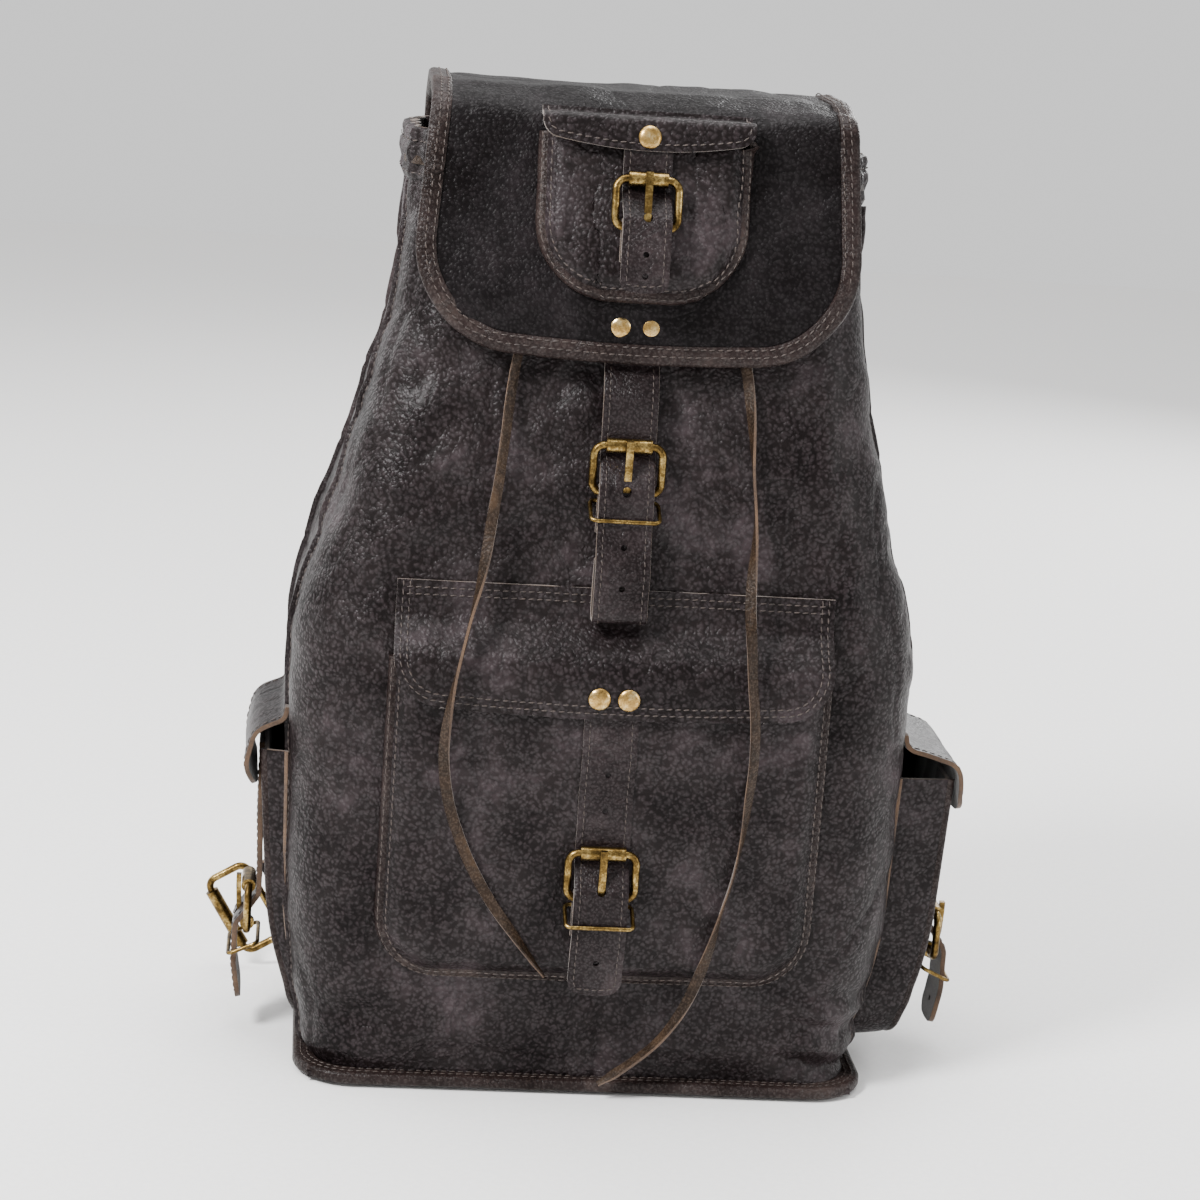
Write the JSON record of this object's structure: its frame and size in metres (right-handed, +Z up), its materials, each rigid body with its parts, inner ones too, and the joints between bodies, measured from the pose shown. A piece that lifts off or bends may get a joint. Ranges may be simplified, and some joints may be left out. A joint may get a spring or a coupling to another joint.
{
  "type": "leather backpack",
  "caption": "Soft leather rucksack with a buckled lid, drawstring mouth, lid pocket, front pocket, side pockets and two shoulder straps, with brass roller buckles.",
  "frame": {"origin": "centre of the base's underside", "axes": "+X to the wearer's view of the front's right, +Y to the back, +Z up; the buckled front faces -Y"},
  "size_m": [0.3395, 0.1804, 0.4302],
  "materials": {
    "body_leather": "glossy",
    "strap_leather": "glossy",
    "binding": "satin",
    "lace": "satin",
    "brass": "satin",
    "brass_rivet": "satin"
  },
  "bodies": {
    "root": {"front_panel": "body_leather", "back_panel": "body_leather", "gusset_left": "body_leather", "gusset_right": "body_leather", "base_panel": "body_leather", "base_binding": "binding", "mouth_hem": "body_leather", "drawstring": "lace", "lace_left": "lace", "lace_right": "lace", "front_pocket": "body_leather", "front_pocket_binding": "binding", "front_flap_band": "body_leather", "side_pocket_left": "body_leather", "side_pocket_right": "body_leather", "main_flap_band": "body_leather", "back_yoke": "strap_leather", "lower_anchors": "strap_leather"},
    "main_flap": {"main_flap": "body_leather", "main_flap_binding": "binding", "flap_pocket": "body_leather", "flap_pocket_binding": "binding", "main_rivets": "brass_rivet", "main_strap": "strap_leather", "main_buckle": "brass", "main_chape": "strap_leather"},
    "small_flap": {"small_flap": "body_leather", "small_rivet": "brass_rivet", "small_strap": "strap_leather", "small_buckle": "brass", "small_chape": "strap_leather"},
    "front_flap": {"front_flap": "body_leather", "front_rivets": "brass_rivet", "front_strap": "strap_leather", "front_buckle": "brass", "front_chape": "strap_leather"},
    "side_flap_left": {"side_flap_left": "body_leather", "side_strap_left": "strap_leather", "side_left_buckle": "brass"},
    "side_flap_right": {"side_flap_right": "body_leather", "side_strap_right": "strap_leather", "side_right_buckle": "brass"},
    "shoulder_strap_left": {"shoulder_strap_left": "strap_leather", "shoulder_left_buckle": "brass"},
    "shoulder_strap_right": {"shoulder_strap_right": "strap_leather", "shoulder_right_buckle": "brass"},
    "haul_loop": {"haul_loop": "strap_leather"},
    "main_tongue": {"main_tongue": "brass"},
    "small_tongue": {"small_tongue": "brass"},
    "front_tongue": {"front_tongue": "brass"},
    "side_left_tongue": {"side_left_tongue": "brass"},
    "side_right_tongue": {"side_right_tongue": "brass"},
    "main_roller": {"main_roller": "brass"},
    "small_roller": {"small_roller": "brass"},
    "front_roller": {"front_roller": "brass"},
    "side_left_roller": {"side_left_roller": "brass"},
    "side_right_roller": {"side_right_roller": "brass"},
    "shoulder_left_roller": {"shoulder_left_roller": "brass"},
    "shoulder_right_roller": {"shoulder_right_roller": "brass"}
  },
  "joints": [
    {"name": "main_flap_hinge", "type": "hinge", "parent": "root", "child": "main_flap", "pos_m": [0, 0.04595, 0.404], "axis": [-1, 0, 0], "range_deg": [0, 110]},
    {"name": "small_flap_hinge", "type": "hinge", "parent": "main_flap", "child": "small_flap", "pos_m": [0, -0.04706, 0.42136], "axis": [-1, 0, 0], "range_deg": [0, 85]},
    {"name": "front_flap_hinge", "type": "hinge", "parent": "root", "child": "front_flap", "pos_m": [0, -0.08021, 0.2025], "axis": [-1, 0, 0], "range_deg": [0, 85], "deforming": ["lace_left", "lace_right"]},
    {"name": "side_flap_left_hinge", "type": "hinge", "parent": "root", "child": "side_flap_left", "pos_m": [-0.1343, -0.002, 0.153], "axis": [0, 1, 0], "range_deg": [0, 85]},
    {"name": "side_flap_right_hinge", "type": "hinge", "parent": "root", "child": "side_flap_right", "pos_m": [0.1343, -0.002, 0.153], "axis": [0, -1, 0], "range_deg": [0, 85]},
    {"name": "shoulder_strap_left_swing", "type": "hinge", "parent": "root", "child": "shoulder_strap_left", "pos_m": [-0.042, 0.04705, 0.3665], "axis": [1, 0, 0], "range_deg": [0, 70]},
    {"name": "shoulder_strap_right_swing", "type": "hinge", "parent": "root", "child": "shoulder_strap_right", "pos_m": [0.042, 0.04705, 0.3665], "axis": [1, 0, 0], "range_deg": [0, 70]},
    {"name": "haul_loop_swing", "type": "hinge", "parent": "root", "child": "haul_loop", "pos_m": [0, 0.04791, 0.3658], "axis": [1, 0, 0], "range_deg": [0, 100]},
    {"name": "main_tongue_swing", "type": "hinge", "parent": "main_flap", "child": "main_tongue", "pos_m": [0, -0.07143, 0.266], "axis": [1, 0, 0], "range_deg": [0, 60]},
    {"name": "main_roller_spin", "type": "hinge", "parent": "main_flap", "child": "main_roller", "pos_m": [0, -0.07143, 0.286], "axis": [1, 0, 0], "continuous": true},
    {"name": "small_tongue_swing", "type": "hinge", "parent": "small_flap", "child": "small_tongue", "pos_m": [0, -0.07274, 0.37648], "axis": [1, 0, 0], "range_deg": [0, 60]},
    {"name": "small_roller_spin", "type": "hinge", "parent": "small_flap", "child": "small_roller", "pos_m": [0, -0.06843, 0.39601], "axis": [1, 0, 0], "continuous": true},
    {"name": "front_tongue_swing", "type": "hinge", "parent": "front_flap", "child": "front_tongue", "pos_m": [0, -0.08786, 0.094], "axis": [1, 0, 0], "range_deg": [0, 60]},
    {"name": "front_roller_spin", "type": "hinge", "parent": "front_flap", "child": "front_roller", "pos_m": [0, -0.08786, 0.114], "axis": [1, 0, 0], "continuous": true},
    {"name": "side_left_tongue_swing", "type": "hinge", "parent": "side_flap_left", "child": "side_left_tongue", "pos_m": [-0.14837, -0.002, 0.048], "axis": [0, -1, 0], "range_deg": [0, 60]},
    {"name": "side_left_roller_spin", "type": "hinge", "parent": "side_flap_left", "child": "side_left_roller", "pos_m": [-0.14837, -0.002, 0.068], "axis": [0, -1, 0], "continuous": true},
    {"name": "side_right_tongue_swing", "type": "hinge", "parent": "side_flap_right", "child": "side_right_tongue", "pos_m": [0.16237, -0.002, 0.048], "axis": [0, 1, 0], "range_deg": [0, 60]},
    {"name": "side_right_roller_spin", "type": "hinge", "parent": "side_flap_right", "child": "side_right_roller", "pos_m": [0.16237, -0.002, 0.068], "axis": [0, 1, 0], "continuous": true},
    {"name": "shoulder_left_roller_spin", "type": "hinge", "parent": "shoulder_strap_left", "child": "shoulder_left_roller", "pos_m": [-0.15814, 0.073, 0.0237], "axis": [-0.515, 0, 0.8572], "continuous": true},
    {"name": "shoulder_right_roller_spin", "type": "hinge", "parent": "shoulder_strap_right", "child": "shoulder_right_roller", "pos_m": [0.14914, 0.073, 0.0237], "axis": [-0.515, 0, -0.8572], "continuous": true}
  ]
}
